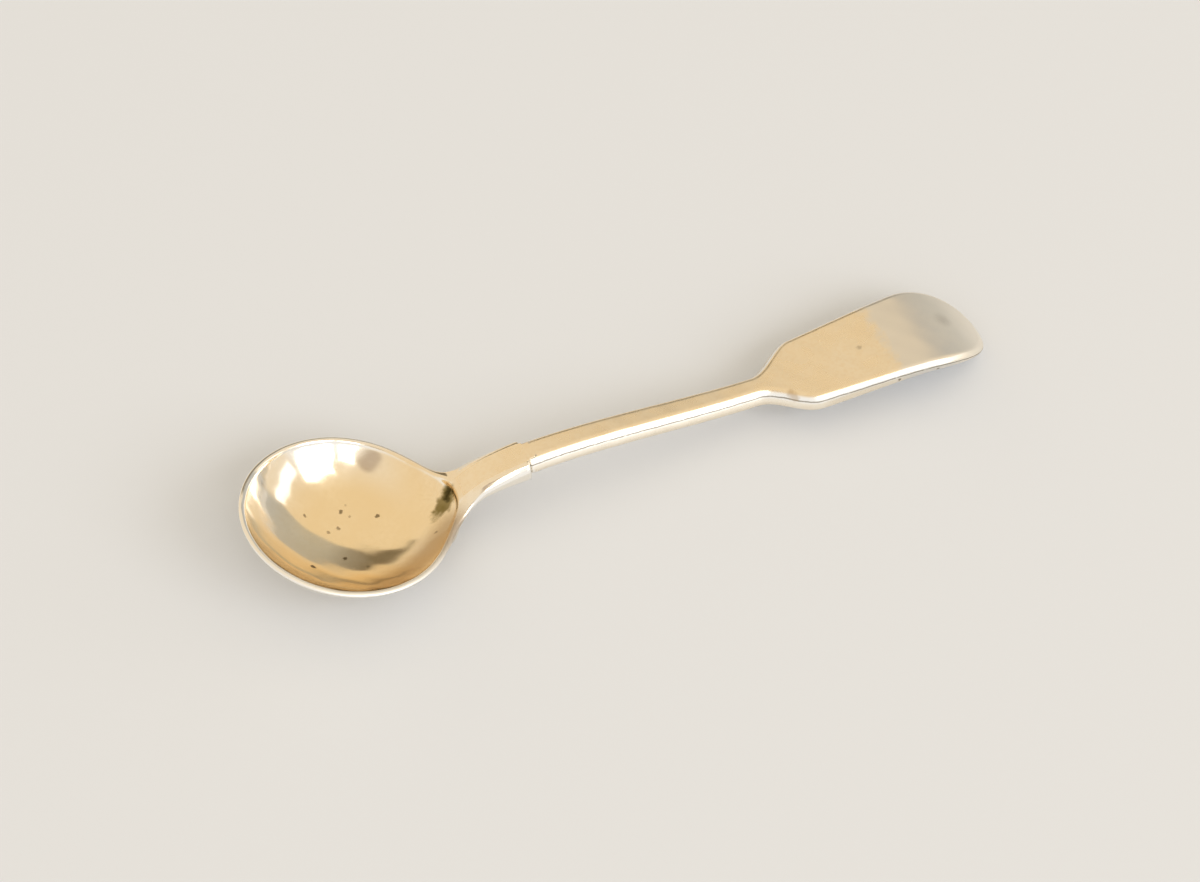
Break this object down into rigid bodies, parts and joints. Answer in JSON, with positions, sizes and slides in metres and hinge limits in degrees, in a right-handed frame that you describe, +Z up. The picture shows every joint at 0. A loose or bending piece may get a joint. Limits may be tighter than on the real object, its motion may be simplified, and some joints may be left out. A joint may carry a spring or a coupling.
{
  "type": "salt spoon",
  "caption": "Small fiddle-pattern salt spoon with a round deep bowl, a slim arched stem and a flat round-ended terminal, for serving salt at table.",
  "frame": {"origin": "middle of the spoon's box, on the table it lies on", "axes": "+X along the spoon from the bowl to the tip of the handle, +Z up out of the bowl"},
  "size_m": [0.1, 0.026, 0.0107],
  "materials": {
    "bowl_metal": "polished pale gold metal, worn and lightly pitted",
    "handle_metal": "satin pale gold metal with fine scratches",
    "solder": "dull hard solder"
  },
  "bodies": {
    "root": {"bowl": "bowl_metal", "handle": "handle_metal", "solder_joint": "solder"}
  },
  "joints": []
}
